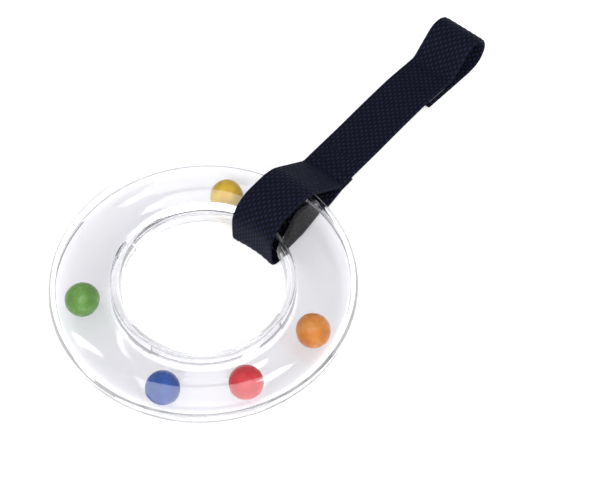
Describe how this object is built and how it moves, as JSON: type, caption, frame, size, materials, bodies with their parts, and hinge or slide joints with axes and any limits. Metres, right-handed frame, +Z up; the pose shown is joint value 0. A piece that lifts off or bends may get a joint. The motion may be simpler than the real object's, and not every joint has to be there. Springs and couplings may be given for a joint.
{
  "type": "teething ring",
  "caption": "Clear hollow rattle ring holding loose coloured beads, on a dark webbing strap whose hook-and-loop end wraps round a bar.",
  "frame": {"origin": "on the surface that the ring and strap lie on, under the middle of the whole object's outline", "axes": "+Y along the strap from the ring towards the bar loop, +Z up through the ring's hole, X across the strap and along the bar"},
  "size_m": [0.09, 0.1711, 0.0193],
  "materials": {
    "clear_plastic": "clear moulded copolyester, polished",
    "yellow_bead": "glossy",
    "green_bead": "glossy, speckled",
    "blue_bead": "glossy",
    "red_bead": "glossy",
    "orange_bead": "glossy",
    "webbing": "ribbed nylon webbing",
    "closure": "hook-and-loop tape",
    "thread": "polyester thread"
  },
  "bodies": {
    "strap": {"strap_run": "webbing", "loop_patch": "closure", "loop_patch_stitching": "thread"},
    "flap": {"strap_flap": "webbing", "hook_patch": "closure", "hook_patch_stitching": "thread"},
    "ring_loop": {"strap_ring_loop": "webbing", "ring_loop_stitching": "thread"},
    "ring": {"upper_shell": "clear_plastic", "lower_shell": "clear_plastic"},
    "bead_yellow": {"bead_yellow": "yellow_bead"},
    "bead_green": {"bead_green": "green_bead"},
    "bead_blue": {"bead_blue": "blue_bead"},
    "bead_red": {"bead_red": "red_bead"},
    "bead_orange": {"bead_orange": "orange_bead"}
  },
  "joints": [
    {"name": "flap_opening", "type": "hinge", "parent": "strap", "child": "flap", "pos_m": [0, 0.08487, 0.00645], "axis": [1, 0, 0], "range_deg": [0, 100]},
    {"name": "strap_bend", "type": "hinge", "parent": "strap", "child": "ring_loop", "pos_m": [0, 0.02098, 0.0067], "axis": [1, 0, 0], "range_deg": [-85, 60]},
    {"name": "ring_turn", "type": "hinge", "parent": "ring_loop", "child": "ring", "pos_m": [0, -0.04063, 0.00965], "axis": [0, 0, 1], "continuous": true},
    {"name": "bead_yellow_roll", "type": "hinge", "parent": "ring", "child": "bead_yellow", "pos_m": [0, -0.04063, 0.00965], "axis": [0, 0, 1], "range_deg": [-44, 44]},
    {"name": "bead_green_roll", "type": "hinge", "parent": "ring", "child": "bead_green", "pos_m": [0, -0.04063, 0.00965], "axis": [0, 0, 1], "range_deg": [-44, 23]},
    {"name": "bead_blue_roll", "type": "hinge", "parent": "ring", "child": "bead_blue", "pos_m": [0, -0.04063, 0.00965], "axis": [0, 0, 1], "range_deg": [-23, 11]},
    {"name": "bead_red_roll", "type": "hinge", "parent": "ring", "child": "bead_red", "pos_m": [0, -0.04063, 0.00965], "axis": [0, 0, 1], "range_deg": [-11, 13]},
    {"name": "bead_orange_roll", "type": "hinge", "parent": "ring", "child": "bead_orange", "pos_m": [0, -0.04063, 0.00965], "axis": [0, 0, 1], "range_deg": [-12.5, 44]}
  ]
}
